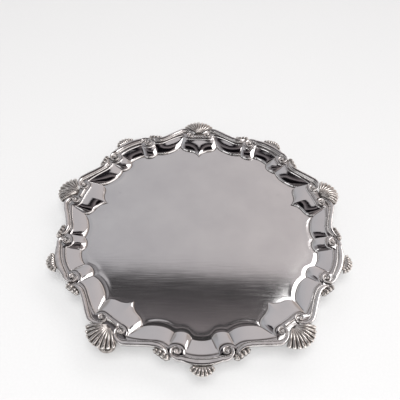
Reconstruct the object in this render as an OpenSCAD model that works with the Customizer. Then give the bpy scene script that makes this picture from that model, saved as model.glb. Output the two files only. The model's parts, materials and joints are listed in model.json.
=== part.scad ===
// Silver salver on three cast feet.
// A round tray raised from one sheet of silver, with a five-lobed rim.
// Cast scrolls, leaves and fluted shells are soldered round the rim.
// The serving face is at z = 0, z points up, and the feet stand below it.
// Each lobe runs from one large shell to the next, 72 degrees on.
// Plan outlines are drawn for one half lobe and repeated by symmetry.
// x runs along the lobe from its small shell, and y runs outwards.

/* [Tray] */
// Width of the whole tray, from a large shell to the small shell opposite
overall_d = 300; // [220:2:400]
// Height of the serving face above the table
stand_h = 20; // [14:0.5:32]
// Thickness of the silver sheet
sheet_t = 1.3; // [1:0.1:2.5]
// Rise of the rim's seat above the serving face
rim_h = 4.75; // [4:0.25:10]
// Height of the fine line raised along the inside of the border
line_h = 0.6; // [0.3:0.1:1.2]

/* [Border scrolls] */
// Width of a long scroll at its middle
scroll_w = 5.4; // [4:0.1:7]
// Width of an arched scroll at its middle
arch_w = 7.2; // [5:0.1:9]
// Height of the scrolls above the seat, at full width
scroll_h = 3; // [2:0.1:5]
// Height the curled ends stand above the seat
curl_h = 3.4; // [2:0.1:6]

/* [Shells] */
// Flutes on a large shell
large_flutes = 9; // [5:1:13]
// Reach of a large shell from its hinge
large_reach = 21.4; // [16:0.2:24]
// Flutes on a small shell
small_flutes = 7; // [5:1:9]
// Reach of a small shell from its hinge
small_reach = 13; // [9:0.2:16]
// Depth of the flutes
flute_depth = 0.9; // [0.3:0.1:1.5]
// Thickness of a cast shell
shell_t = 1.8; // [1:0.1:3]

/* [Feet] */
// Width of a foot's toe
toe_w = 17; // [10:0.5:24]
// How far the feet's tops reach across under the rim
foot_top_w = 15; // [8:0.5:20]

/* [Hidden] */

// The plan is drawn 301 mm across and then brought to the width asked for.
drawn_d = 301;
k = overall_d / drawn_d;
seat_z = rim_h;
// Lobe axes: lobe 1 has its small shell nearest the front.
first_axis = 270;
seg = 3;
// Shell fans: hinge's reach, start and end of the fan, half spread and rise of its crown.
large_hinge = 130.6;
large_root = 1.6;
large_side = large_reach - 1.2;
large_spread = 57;
large_rise = 3.8;
large_drop = 0.3;
small_hinge = 136;
small_root = 4.5;
small_bow = 0.0125;
small_side = small_reach - 0.3;
small_spread = 61;
small_rise = 2.8;
small_drop = 0.4;
scallop = 0.7;
// Bar behind a large shell.
bar_half = 5;
bar_reach = 127;
bar_r = 1.75;
bar_swell = 1.5;
// Widths and height that the feet and curls are drawn at.
drawn_toe_w = 17;
drawn_foot_top_w = 15;
drawn_curl_h = 3.9;
toe_share = 0.4;
// The back left foot stands out under a small shell.
foot_3_shift = 6.4;

// Turns a point measured from a large shell's axis into the lobe's own frame.
function shell_pt(s, q) = [q * sin(36) - s * cos(36), q * cos(36) + s * sin(36)];
// One curved run of an outline, without its last point.
function bend(a, c, b) =
  [for (i = [0 : seg - 1]) let (t = i / seg) (1 - t) * (1 - t) * a + 2 * t * (1 - t) * c + t * t * b];
// Repeats half a lobe round the whole tray, anticlockwise.
function lobe_pt(p, axis, side) =
  k * [p[1] * cos(axis) - side * p[0] * sin(axis), p[1] * sin(axis) + side * p[0] * cos(axis)];
function round_all(h) = let (n = len(h) - 1)
  [for (lobe = [0 : 4])
    let (axis = first_axis + 72 * lobe)
      each concat([for (i = [n : -1 : 1]) lobe_pt(h[i], axis, -1)],
                  [for (i = [0 : n - 1]) lobe_pt(h[i], axis, 1)])];

// Edge of the flat serving face: bowed lobes, a small bump beside each curl
// and a bracket with a point under each large shell.
face_half = concat(
  bend([0, 116.7], [4.5, 116.7], [8.1, 115.2]),
  bend([8.1, 115.2], [9.4, 109.8], [15.5, 108.8]),
  bend([15.5, 108.8], [20, 108.3], [22.5, 109.9]),
  bend([22.5, 109.9], [28, 104.8], [35, 103.7]),
  bend([35, 103.7], [46, 101.9], shell_pt(20.6, 115.4)),
  bend(shell_pt(20.6, 115.4), shell_pt(20, 109.2), shell_pt(12.5, 107.6)),
  bend(shell_pt(12.5, 107.6), shell_pt(3.6, 106.4), shell_pt(0, 99.5)),
  [shell_pt(0, 99.5)]);
// Inside line of the border, wrapping the inner side of every curl.
line_half = concat(
  bend([0, 131.6], [7.5, 131.6], [13.6, 129.6]),
  bend([13.6, 129.6], [13.4, 122.2], [20.6, 121.4]),
  bend([20.6, 121.4], [25, 121], [27.4, 123.4]),
  bend([27.4, 123.4], [32, 119.2], [39, 118.9]),
  bend([39, 118.9], [56, 118.1], shell_pt(17.2, 130.2)),
  bend(shell_pt(17.2, 130.2), shell_pt(15.8, 123.6), shell_pt(9.5, 123.8)),
  bend(shell_pt(9.5, 123.8), shell_pt(5, 124), shell_pt(0, 124)),
  [shell_pt(0, 124)]);
// Outer edge of the sheet, hidden under the cast border.
edge_half = concat(
  bend([0, 141.4], [5, 141.4], [17, 135.2]),
  bend([17, 135.2], [22, 134.4], [27, 133]),
  bend([27, 133], [29.5, 131.8], [32, 129.6]),
  bend([32, 129.6], [36, 126.2], [41, 123.9]),
  bend([41, 123.9], [52, 123.1], shell_pt(21, 136)),
  bend(shell_pt(21, 136), shell_pt(15, 136), shell_pt(10, 134.6)),
  bend(shell_pt(10, 134.6), shell_pt(5, 133.4), shell_pt(0, 133.4)),
  [shell_pt(0, 133.4)]);

face_edge = round_all(face_half);
line_edge = round_all(line_half);
sheet_edge = round_all(edge_half);

// A ring of points a share of the way up the rim, at height z.
function rim_ring(t, z) =
  [for (i = [0 : len(face_edge) - 1])
    let (p = face_edge[i] + t * (line_edge[i] - face_edge[i])) [p[0], p[1], z]];
// A ring a set distance inside the border's inner line.
function line_ring(d, z) =
  [for (i = [0 : len(line_edge) - 1])
    let (v = face_edge[i] - line_edge[i], p = line_edge[i] + d * v / norm(v)) [p[0], p[1], z]];
function flat_ring(edge, z) = [for (p = edge) [p[0], p[1], z]];

// Skins a list of closed rings into one solid; the two end rings are flat faces.
module skin(rings) {
  n = len(rings[0]);
  m = len(rings);
  points = [for (r = rings) each r];
  sides = [for (j = [0 : m - 2]) for (i = [0 : n - 1])
    let (a = j * n + i, b = j * n + (i + 1) % n, c = a + n, d = b + n)
      each [[a, c, d], [a, d, b]]];
  first = [for (i = [0 : n - 1]) i];
  last = [for (i = [n - 1 : -1 : 0]) (m - 1) * n + i];
  polyhedron(points, concat([first], sides, [last]), convexity = 10);
}

module tray_plate() {
  h = rim_h;
  color("#BFBDBB")
    skin([
      rim_ring(0.02, -sheet_t),
      rim_ring(0.22, h * 0.46 - sheet_t),
      rim_ring(0.55, h * 0.72 - sheet_t),
      line_ring(0.1, seat_z - sheet_t),
      flat_ring(sheet_edge, seat_z - sheet_t),
      flat_ring(sheet_edge, seat_z),
      line_ring(0.1, seat_z),
      line_ring(0.8, seat_z + line_h),
      line_ring(1.5, h * 0.95),
      rim_ring(0.55, h * 0.72),
      rim_ring(0.22, h * 0.48),
      rim_ring(0.1, h * 0.28),
      rim_ring(0, 0)]);
}

// Section across a scroll, outer edge first: a broad reed sloping inwards, a groove
// and a fine inner reed.
reed = [[-1, 0], [-1, 0.5], [-0.85, 0.93], [-0.55, 1], [0.1, 0.86], [0.5, 0.5], [0.7, 0.68],
  [1, 0.3], [1, 0]];

// Curls: angle turned, distance from the eye, width and height.
shell_curl = [[-18, 10.4, 5.2, 3.4], [0, 8.5, 4.8, 3.3], [25, 6.3, 4, 3.1], [50, 4.9, 3.2, 2.9],
  [90, 4, 2.7, 2.7], [180, 3.5, 2.4, 2.6], [270, 2.7, 2, 2.8], [360, 2, 1.7, 3.1],
  [450, 1.3, 1.7, 3.5], [540, 0.85, 1.4, 3.8]];
arch_curl = [[-34, 7.3, 5.4, 3.4], [0, 5.7, 4.2, 3.2], [45, 4.8, 3.4, 3], [90, 4.3, 2.9, 2.8],
  [180, 3.5, 2.5, 2.7], [270, 2.7, 2, 2.8], [360, 2, 1.7, 3.1],
  [450, 1.3, 1.7, 3.5], [540, 0.85, 1.4, 3.8]];
shell_eye = shell_pt(10.4, 129.6);
arch_eye = [20.8, 128];

function column(table, c) = [for (q = table) [q[0], q[c]]];
function curl(eye, table, from, to, step) =
  [for (a = [from : step : to])
    let (r = lookup(a, column(table, 1)))
      [eye[0] + r * sin(a), eye[1] + r * cos(a), lookup(a, column(table, 2)),
       lookup(a, column(table, 3)) * curl_h / drawn_curl_h]];

// Sweeps the reed section along stations of [x, y, width, height].
module scroll_run(st) {
  n = len(st);
  skin([for (i = [0 : n - 1])
    let (a = st[max(0, i - 1)], b = st[min(n - 1, i + 1)], d = [b[0] - a[0], b[1] - a[1]],
         right = [d[1], -d[0]] / norm(d), w = st[i][2] / 2)
      [for (q = reed)
        [k * (st[i][0] + right[0] * q[0] * w), k * (st[i][1] + right[1] * q[0] * w), q[1] * st[i][3]]]]);
}

long_run = concat(
  [[28.8, 130.1, 2.4, 2], [29.8, 127.7, 3.5, 2.5], [32, 125.2, 4.6, 2.8]],
  [[35.6, 123, scroll_w - 0.2, scroll_h], [40, 122, scroll_w, scroll_h], [46, 121.5, scroll_w, scroll_h],
   [52, 121.3, scroll_w, scroll_h], [58, 121.2, scroll_w, scroll_h]],
  curl(shell_eye, shell_curl, -18, 540, 31));
arch_half = concat(
  [[6, 136.5, arch_w - 0.1, scroll_h], [11, 135.6, arch_w - 0.6, scroll_h]],
  curl(arch_eye, arch_curl, -34, 540, 30.2));
arch_run = concat(
  [for (i = [len(arch_half) - 1 : -1 : 0]) let (q = arch_half[i]) [-q[0], q[1], q[2], q[3]]],
  [[0, 136.8, arch_w, scroll_h]], arch_half);

// Lobe i has its small shell on its own +y axis; shell i sits 36 degrees before it.
module in_lobe(i) {
  rotate([0, 0, first_axis - 90 + 72 * (i - 1)]) children();
}
module at_shell(i) {
  rotate([0, 0, first_axis - 126 + 72 * (i - 1)]) children();
}

module left_scroll(i) {
  color("#C9C6C3") in_lobe(i) translate([0, 0, seat_z]) scroll_run(long_run);
}
module right_scroll(i) {
  color("#C9C6C3") in_lobe(i) mirror([1, 0, 0]) translate([0, 0, seat_z]) scroll_run(long_run);
}
// The arch is one casting, with a curl at each end.
module arch_scroll(i) {
  color("#C9C6C3") in_lobe(i) translate([0, 0, seat_z]) scroll_run(arch_run);
}

// Four domed lobes make the leaf that covers each joint between scrolls.
// Each row is a lobe's centre, its two half widths and its height. Only the part above
// the seat is kept, by a block that clears the tallest lobe.
leaf_middle = [32, 130];
leaf_clear = 4;
leaf_reach = 32;
leaf_lobes = [[38.2, 127, 2.5, 2, 2.4], [34.7, 129, 2.7, 2.4, 2.9], [31.3, 131.4, 2.8, 2.7, 3.3],
  [27.9, 133.5, 2.5, 2.4, 2.9]];
module leaf() {
  intersection() {
    union() {
      for (q = leaf_lobes)
        translate([k * q[0], k * q[1], 0]) scale([k * q[2], k * q[3], q[4]]) sphere(r = 1, $fn = 32);
    }
    translate([k * leaf_middle[0], k * leaf_middle[1], leaf_clear / 2])
      cube([leaf_reach, leaf_reach, leaf_clear], center = true);
  }
}
module left_leaf(i) {
  color("#B7AFA6") in_lobe(i) translate([0, 0, seat_z]) leaf();
}
module right_leaf(i) {
  color("#B7AFA6") in_lobe(i) mirror([1, 0, 0]) translate([0, 0, seat_z]) leaf();
}

// A fluted shell is a fan of radial sections about its hinge.
function flute(b, flutes, spread) = abs(cos(b * flutes * 90 / spread));
function fan_edge(b, outer, side, flutes, spread) =
  outer + (side - outer) * pow(sin(b) / sin(spread), 2) - scallop * (1 - flute(b, flutes, spread));
// Where the fan meets the bowed outer side of the arch behind it.
function fan_start(b, inner, bow) =
  bow == 0 ? inner : abs(b) < 1 ? inner
    : let (q = bow * pow(sin(b), 2), c = cos(b)) (sqrt(c * c + 4 * q * inner) - c) / (2 * q);
function fan_top(share, b, rise, drop, flutes, spread) =
  rise * sin(25 + 130 * share) - drop * share * share
    + flute_depth * share * (flute(b, flutes, spread) - 0.5);

module fluted_shell(hinge, inner, bow, outer, side, flutes, spread, rise, drop) {
  steps = flutes * 4;
  shares = [0, 0.25, 0.55, 0.82, 1];
  skin([for (i = [0 : steps])
    let (b = -spread + 2 * spread * i / steps,
         r0 = fan_start(b, inner, bow), r1 = fan_edge(b, outer, side, flutes, spread))
      concat(
        [for (s = shares)
          let (r = k * (r0 + s * (r1 - r0)), z = fan_top(s, b, rise, drop, flutes, spread) - shell_t)
            [r * sin(b), k * hinge + r * cos(b), s < 0.3 ? 0 : z]],
        [for (j = [len(shares) - 1 : -1 : 0])
          let (s = shares[j], r = k * (r0 + s * (r1 - r0)))
            [r * sin(b), k * hinge + r * cos(b), fan_top(s, b, rise, drop, flutes, spread)]])]);
}

module large_shell(i) {
  color("#B7AFA6") at_shell(i) translate([0, 0, seat_z])
    fluted_shell(large_hinge, large_root, 0, large_reach, large_side, large_flutes, large_spread,
      large_rise, large_drop);
}
module small_shell(i) {
  color("#B7AFA6") in_lobe(i) translate([0, 0, seat_z])
    fluted_shell(small_hinge, small_root, small_bow, small_reach, small_side, small_flutes,
      small_spread, small_rise, small_drop);
}

// A short half-round bar joins the two curls behind each large shell.
module shell_bar(i) {
  color("#C9C6C3") at_shell(i) translate([-bar_half * k, bar_reach * k, seat_z]) rotate([90, 0, 90])
    linear_extrude(2 * bar_half * k)
      intersection() {
        scale([1, bar_swell]) circle(r = bar_r, $fn = 32);
        translate([-2 * bar_r, 0]) square([4 * bar_r, 2 * bar_swell * bar_r]);
      }
}

// Rings of a foot, from the floor up: height share, reach, half depth, half width.
foot_rings = [[0, 138.6, 6.4, 7.4], [0.07, 138.8, 7.6, 8.6], [0.2, 137.8, 7.8, 8.6], [0.32, 135.2, 6.8, 7.3],
  [0.44, 132, 5, 5.3], [0.58, 129.4, 3.8, 4.3], [0.74, 127.8, 3.3, 4.3], [0.9, 128.2, 3.4, 5.8],
  [1, 128.6, 3.6, 7.5]];
module cast_foot(shift) {
  rise = stand_h + seat_z - sheet_t;
  skin([for (q = foot_rings)
    [for (a = [0 : 22.5 : 337.5])
      let (w = q[3] * (q[0] < toe_share ? toe_w / drawn_toe_w : foot_top_w / drawn_foot_top_w))
        [k * w * cos(a), k * (q[1] + shift + q[2] * sin(a)), q[0] * rise - stand_h]]]);
}
module foot_1() {
  color("#B4ADA6") at_shell(1) cast_foot(0);
}
module foot_2() {
  color("#B4ADA6") at_shell(3) cast_foot(0);
}
module foot_3() {
  color("#B4ADA6") in_lobe(4) cast_foot(foot_3_shift);
}

tray_plate();
large_shell(1);  // large_shell_1
large_shell(2);  // large_shell_2
large_shell(3);  // large_shell_3
large_shell(4);  // large_shell_4
large_shell(5);  // large_shell_5
small_shell(1);  // small_shell_1
small_shell(2);  // small_shell_2
small_shell(3);  // small_shell_3
small_shell(4);  // small_shell_4
small_shell(5);  // small_shell_5
arch_scroll(1);  // arch_scroll_1
arch_scroll(2);  // arch_scroll_2
arch_scroll(3);  // arch_scroll_3
arch_scroll(4);  // arch_scroll_4
arch_scroll(5);  // arch_scroll_5
left_scroll(1);  // left_scroll_1
left_scroll(2);  // left_scroll_2
left_scroll(3);  // left_scroll_3
left_scroll(4);  // left_scroll_4
left_scroll(5);  // left_scroll_5
right_scroll(1);  // right_scroll_1
right_scroll(2);  // right_scroll_2
right_scroll(3);  // right_scroll_3
right_scroll(4);  // right_scroll_4
right_scroll(5);  // right_scroll_5
left_leaf(1);  // left_leaf_1
left_leaf(2);  // left_leaf_2
left_leaf(3);  // left_leaf_3
left_leaf(4);  // left_leaf_4
left_leaf(5);  // left_leaf_5
right_leaf(1);  // right_leaf_1
right_leaf(2);  // right_leaf_2
right_leaf(3);  // right_leaf_3
right_leaf(4);  // right_leaf_4
right_leaf(5);  // right_leaf_5
shell_bar(1);  // shell_bar_1
shell_bar(2);  // shell_bar_2
shell_bar(3);  // shell_bar_3
shell_bar(4);  // shell_bar_4
shell_bar(5);  // shell_bar_5
foot_1();
foot_2();
foot_3();
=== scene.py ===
# %% [markdown]
# # A silver salver on three feet
# A salver is a flat silver tray for carrying glasses or cards. Its plate is raised from one
# sheet: the smith hammers the sheet down over a stake until a rim stands up round a flat face.
# The border is cast in short lengths of scroll, leaf and shell, which are soldered round the
# rim, and three cast feet are soldered underneath. Nothing on it moves.
# This file loads the measured frame of the part and builds each piece again with a finer
# skin, in the same place, then gives each one the silver finish that its making leaves.

# %% Load the frame
import json
import math
import bmesh
import bpy
import numpy as np
from mathutils import Matrix, Vector


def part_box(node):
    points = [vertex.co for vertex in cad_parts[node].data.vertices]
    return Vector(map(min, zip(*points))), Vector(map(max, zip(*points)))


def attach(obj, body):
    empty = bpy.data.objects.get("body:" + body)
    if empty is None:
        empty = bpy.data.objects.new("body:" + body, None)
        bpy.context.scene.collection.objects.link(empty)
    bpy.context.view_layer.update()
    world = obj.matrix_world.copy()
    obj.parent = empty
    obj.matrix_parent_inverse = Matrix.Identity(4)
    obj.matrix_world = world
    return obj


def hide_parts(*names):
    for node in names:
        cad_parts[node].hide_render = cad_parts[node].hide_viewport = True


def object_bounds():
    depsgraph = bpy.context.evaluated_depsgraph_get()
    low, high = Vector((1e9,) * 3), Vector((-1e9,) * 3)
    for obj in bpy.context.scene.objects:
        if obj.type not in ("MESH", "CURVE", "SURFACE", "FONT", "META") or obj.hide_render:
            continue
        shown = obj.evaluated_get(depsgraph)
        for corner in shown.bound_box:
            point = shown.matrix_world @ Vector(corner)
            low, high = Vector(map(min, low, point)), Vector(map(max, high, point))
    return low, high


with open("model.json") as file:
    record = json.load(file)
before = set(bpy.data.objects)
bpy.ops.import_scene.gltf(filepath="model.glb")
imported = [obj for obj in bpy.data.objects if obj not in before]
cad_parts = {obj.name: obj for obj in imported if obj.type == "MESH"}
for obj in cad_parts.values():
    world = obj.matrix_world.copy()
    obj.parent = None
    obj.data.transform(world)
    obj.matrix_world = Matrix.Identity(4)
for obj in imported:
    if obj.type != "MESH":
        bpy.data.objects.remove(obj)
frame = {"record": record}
cad_low, cad_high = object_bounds()
print("frame box, mm:", [round(v * 1000, 1) for v in cad_high - cad_low])

# %% [markdown]
# ## Sizes that the pieces share
# All plan shapes are drawn in millimetres for one half of one lobe, because the border repeats
# ten times round the tray. Drawing the whole tray by hand would let the lobes drift apart, so
# symmetry does the repeating. Heights and the overall size are read from the frame.

# %% Sizes and places from the frame
MM = 0.001
LARGE_SHELL_TIP = 152.0
BACK_SHELL = "large_shell_4"
drawn_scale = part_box(BACK_SHELL)[1].y / MM / LARGE_SHELL_TIP
seat_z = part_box("arch_scroll_1")[0].z / MM
plate_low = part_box("tray_plate")[0].z / MM
sheet_t = -plate_low
floor_z = cad_low.z
scroll_h = 3.0
curl_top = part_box("arch_scroll_1")[1].z / MM - seat_z
LOBES = range(1, 6)
print("scale", round(drawn_scale, 4), "seat", round(seat_z, 2), "sheet", round(sheet_t, 2),
      "curls", round(curl_top, 2), "floor", round(floor_z / MM, 2))

# %% Plan points and repeats
C36, S36 = math.cos(math.radians(36)), math.sin(math.radians(36))


def from_shell(s, q):
    """A point measured from a large shell's axis, in the lobe's own frame."""
    return (q * S36 - s * C36, q * C36 + s * S36)


def bend(start, pull, end, fine):
    """One curved run of an outline, without its last point."""
    t = (np.arange(fine) / fine)[:, None]
    a, c, b = (np.array(p, float) for p in (start, pull, end))
    return (1 - t) ** 2 * a + 2 * t * (1 - t) * c + t * t * b


def half_outline(corners, fine):
    """Half a lobe's outline: corners and pulls alternate."""
    runs = [bend(*corners[i:i + 3], fine) for i in range(0, len(corners) - 2, 2)]
    return np.vstack(runs + [np.array([corners[-1]])])


def round_all(half):
    """Half a lobe repeated round the whole tray, anticlockwise."""
    n = len(half) - 1
    out = []
    for lobe in range(5):
        axis = math.radians(270 + 72 * lobe)
        side = np.concatenate([-np.ones(n), np.ones(n)])
        p = np.vstack([half[n:0:-1], half[:n]])
        x, y = p[:, 0] * side, p[:, 1]
        out.append(np.stack([y * math.cos(axis) - x * math.sin(axis),
                             y * math.sin(axis) + x * math.cos(axis)], axis=1))
    return np.vstack(out) * drawn_scale


def turned(points, degrees, mirrored=False):
    """Points of a piece's own frame, mirrored if asked, then turned about the upright axis."""
    p = np.array(points, float).reshape(-1, 3)
    if mirrored:
        p = p * (-1, 1, 1)
    a = math.radians(degrees)
    x = p[:, 0] * math.cos(a) - p[:, 1] * math.sin(a)
    y = p[:, 0] * math.sin(a) + p[:, 1] * math.cos(a)
    return np.stack([x, y, p[:, 2]], axis=1)


def lobe_turn(i):
    return 180 + 72 * (i - 1)


def shell_turn(i):
    return 144 + 72 * (i - 1)


def smooth_through(at, rows, where):
    """A smooth curve through rows of numbers, read at new places along it."""
    at, rows, where = np.array(at, float), np.array(rows, float), np.array(where, float)
    slope = np.gradient(rows, at, axis=0)
    i = np.clip(np.searchsorted(at, where, side="right") - 1, 0, len(at) - 2)
    gap = (at[i + 1] - at[i])[:, None]
    t = (where - at[i])[:, None] / gap
    return ((2 * t ** 3 - 3 * t ** 2 + 1) * rows[i] + (t ** 3 - 2 * t ** 2 + t) * gap * slope[i]
            + (3 * t ** 2 - 2 * t ** 3) * rows[i + 1] + (t ** 3 - t ** 2) * gap * slope[i + 1])


# %% [markdown]
# ## Skins
# A cast or raised piece has one continuous surface, so each piece here is a skin stretched
# over a row of rings, like hoops inside a sleeve. Modifiers on a rough block would be quicker,
# but rings put every reed, groove and flute exactly where the silversmith's pattern has it.
# Each ring point may also carry how dark it is to be made, partly as toning and partly as painted
# shade, which the finishes paint later.

# %% Make a piece from rings
SHARP = math.radians(48)
made_pieces = {}


def piece_from_rings(name, rings, hollow=None, face_share=None, sharp=SHARP, parts=None):
    """A closed skin over rings of points in mm, each point with its darkening for toning and painted
    shade. parts holds more such (rings, darkening) skins.
    """
    verts, faces, toning_and_shade_rows = [], [], []
    for ring_rows, toning_and_shade_depth in [(rings, hollow)] + list(parts or []):
        ring_rows = np.array(ring_rows, float)
        m, n = ring_rows.shape[:2]
        first = sum(len(v) for v in verts)
        verts.append(ring_rows.reshape(-1, 3) * MM)
        toning_and_shade_rows.append(np.zeros(m * n) if toning_and_shade_depth is None else np.array(toning_and_shade_depth, float).ravel())
        index = first + np.arange(m * n).reshape(m, n)
        turn = np.roll(index, -1, axis=1)
        quads = np.stack([index[:-1], turn[:-1], turn[1:], index[1:]], axis=-1)
        faces += quads.reshape(-1, 4).tolist()
        faces += [index[0][::-1].tolist(), index[-1].tolist()]
    mesh = bpy.data.meshes.new(name)
    mesh.from_pydata(np.vstack(verts).tolist(), [], faces)
    shape = bmesh.new()
    shape.from_mesh(mesh)
    bmesh.ops.recalc_face_normals(shape, faces=shape.faces)
    for face in shape.faces:
        face.smooth = True
    for edge in shape.edges:
        edge.smooth = edge.calc_face_angle(0) < sharp
    shape.to_mesh(mesh)
    shape.free()
    # Each point's darkening, partly toning and partly painted shade, is kept for the finishes.
    toning_and_shade_depth = mesh.attributes.new("hollow", "FLOAT", "POINT")
    toning_and_shade_depth.data.foreach_set("value", np.concatenate(toning_and_shade_rows).astype(np.float32))
    if face_share is not None:
        share = mesh.attributes.new("buffed", "FLOAT", "POINT")
        share.data.foreach_set("value", np.array(face_share, np.float32).ravel())
    made = bpy.data.objects.new(name, mesh)
    bpy.context.scene.collection.objects.link(made)
    return made


def set_in_place(piece, node, slot):
    """The piece rides on the tray, stands for its frame node and takes that slot's finish."""
    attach(piece, "root")
    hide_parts(node)
    made_pieces.setdefault(slot, []).append(piece)
    return piece


# %% [markdown]
# ## The raised tray
# The plate has a flat serving face, a crisp step where the rim starts, and a gently sloping
# rim whose panels meet in fine creases that run out to each curl. A fine line is raised just
# inside the border. A lattice with a sculpting brush could push this up, but a smith works to
# a drawn line, so the plan lines come first and the heights follow across them.

# %% Outlines of the face, the inner line and the sheet
FINE = 11
face_corners = [(0, 116.7), (4.5, 116.7), (8.1, 115.2), (9.4, 109.8), (15.5, 108.8), (20, 108.3),
                (22.5, 109.9), (28, 104.8), (35, 103.7), (46, 101.9), from_shell(20.6, 115.4),
                from_shell(20, 109.2), from_shell(12.5, 107.6), from_shell(3.6, 106.4),
                from_shell(0, 99.5)]
line_corners = [(0, 131.6), (7.5, 131.6), (13.6, 129.6), (13.4, 122.2), (20.6, 121.4), (25, 121),
                (27.4, 123.4), (32, 119.2), (39, 118.9), (56, 118.1), from_shell(17.2, 130.2),
                from_shell(15.8, 123.6), from_shell(9.5, 123.8), from_shell(5, 124),
                from_shell(0, 124)]
sheet_corners = [(0, 141.4), (5, 141.4), (17, 135.2), (22, 134.4), (27, 133), (29.5, 131.8),
                 (32, 129.6), (36, 126.2), (41, 123.9), (52, 123.1), from_shell(21, 136),
                 from_shell(15, 136), from_shell(10, 134.6), from_shell(5, 133.4),
                 from_shell(0, 133.4)]
face_edge, line_edge, sheet_edge = (round_all(half_outline(c, FINE))
                                    for c in (face_corners, line_corners, sheet_corners))
print("outline points", len(face_edge), "face width", round(np.ptp(face_edge[:, 0]), 1), "mm")

# %% Panels between the creases
# Each panel bows up between two creases. The first one straddles the middle of the lobe.
PANEL_ENDS = [-FINE, FINE, 3 * FINE, 5 * FINE, 7 * FINE]
PANEL_CROWN = [0.22, 0.42, 0.24, 0.3]
CREASE_CUT = 0.12
# How dark each crease line is painted: painted shade along the crease.
CREASE_SHADE = 0.9
half_at = np.arange(7 * FINE + 1)
crown_half = np.zeros(len(half_at))
for start, end, crown in zip(PANEL_ENDS[:-1], PANEL_ENDS[1:], PANEL_CROWN):
    inside = (half_at >= start) & (half_at <= end)
    share = (half_at[inside] - start) / (end - start)
    crown_half[inside] = crown * np.sin(np.pi * share)
    if start > 0:
        crown_half[start] -= CREASE_CUT


def repeat_round(half):
    """A value along half a lobe, mirrored and repeated round the whole tray."""
    return np.tile(np.concatenate([half[:0:-1], half[:-1]]), 5)


crown = repeat_round(crown_half)
# Hand planishing leaves each panel a little wavy, so no two mirror the room quite alike.
# Each wave has its number of crests round the tray, its height in mm and where it starts.
WAVES = [(13, 0.07, 0.4), (22, 0.06, 2.1), (31, 0.05, 4.0)]
round_share = np.arange(len(crown)) / len(crown) * 2 * math.pi
planish = sum(deep * np.sin(times * round_share + start) for times, deep, start in WAVES)

# %% Rings across the tray
LINE_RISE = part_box("tray_plate")[1].z / MM - seat_z
CROWN_END = 0.9
RIDGE_RISE, RIDGE_AT, RIDGE_SPREAD, RIDGE_START = 0.13, 4.0, 2.2, 0.8
rim_knots = [0, 0.015, 0.05, 0.085, 0.13, 0.24, 0.55, 0.87]
rim_rise = [[0], [0.05], [0.27], [0.37], [0.42], [0.51], [0.73], [0.93]]


def with_height(plan, z):
    return np.column_stack([plan, np.broadcast_to(z, len(plan))])


def rim_ring(share):
    """A ring that share of the way from the face's edge to the raised line."""
    rise = smooth_through(rim_knots, rim_rise, [share])[0, 0] * seat_z
    return with_height(face_edge + share * (line_edge - face_edge),
                       rise + (crown + planish) * math.sin(math.pi * min(1, share / CROWN_END)))


def line_ring(inside, z):
    """A ring that far inside the outer foot of the raised line."""
    away = face_edge - line_edge
    away = away / np.linalg.norm(away, axis=1)[:, None]
    return with_height(line_edge + inside * away, z)


# The ridge that the step pushes up on the face is uneven, and dies out behind a large shell.
round_angle = np.arctan2(face_edge[:, 1], face_edge[:, 0])
ridge_half = np.interp(half_at / FINE, [0, 0.8, 1.3, 2.7, 3.3, 4.6, 5.2, 7],
                       [0.9, 0.9, 0.6, 0.6, 1, 1, 0.15, 0])
ridge_strength = repeat_round(ridge_half)
ridge_strength *= 1 + 0.25 * np.sin(3 * round_angle + 1) + 0.15 * np.sin(11 * round_angle)


def face_ring(inside):
    """A ring that far inside the edge of the face, rounder than the edge the further in it is."""
    away = -face_edge / np.linalg.norm(face_edge, axis=1)[:, None]
    reach = int(inside)
    softened = sum(np.roll(face_edge, step, axis=0) for step in range(-reach, reach + 1))
    softened /= 2 * reach + 1
    lift = RIDGE_RISE * ridge_strength * math.exp(-((inside - RIDGE_AT) / RIDGE_SPREAD) ** 2)
    return with_height(softened + inside * away, lift * min(1, inside / RIDGE_START))


top = [with_height(face_edge * s, 0) for s in (0.004, 0.12, 0.3, 0.5, 0.7, 0.8)]
top += [face_ring(d) for d in (13, 11.5, 10, 9, 8, 7.2, 6.5, 5.8, 5.1, 4.4, 3.7, 3, 2.4, 1.8, 1.3,
                               0.9, 0.5, 0.25, 0.08)]
face_rings = len(top)
top += [rim_ring(s) for s in (0, 0.01, 0.022, 0.038, 0.058, 0.08, 0.1, 0.125, 0.155, 0.19,
                              0.23, 0.28, 0.34, 0.42, 0.5, 0.58, 0.66, 0.74)]
rim_rings = len(top)
top += [line_ring(d, seat_z * h + LINE_RISE * r) for d, h, r in
        ((2.0, 0.945, 0), (1.7, 0.955, 0), (1.5, 0.97, 0.04), (1.32, 1, 0.42), (1.1, 1, 0.84),
         (0.85, 1, 1), (0.6, 1, 0.84), (0.38, 1, 0.46), (0.2, 1, 0.12), (0, 1, 0.1))]
seat_start = len(top)
EDGE_INSET = 0.7
seat_rings = [with_height(line_edge + s * (sheet_edge - line_edge), seat_z + lift)
              for s, lift in ((0.1, 0.25), (0.2, 0.45), (0.5, 0.5), (0.8, 0.2), (0.93, 0))]
edge_out = sheet_edge * (1 - EDGE_INSET / np.linalg.norm(sheet_edge, axis=1)[:, None])
bottom = [with_height(edge_out, seat_z - sheet_t * s) for s in (0.15, 0.5, 0.85)]
bottom += [with_height(line_edge + s * (sheet_edge - line_edge), seat_z - sheet_t)
           for s in (0.93, 0.5, 0)]
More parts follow.
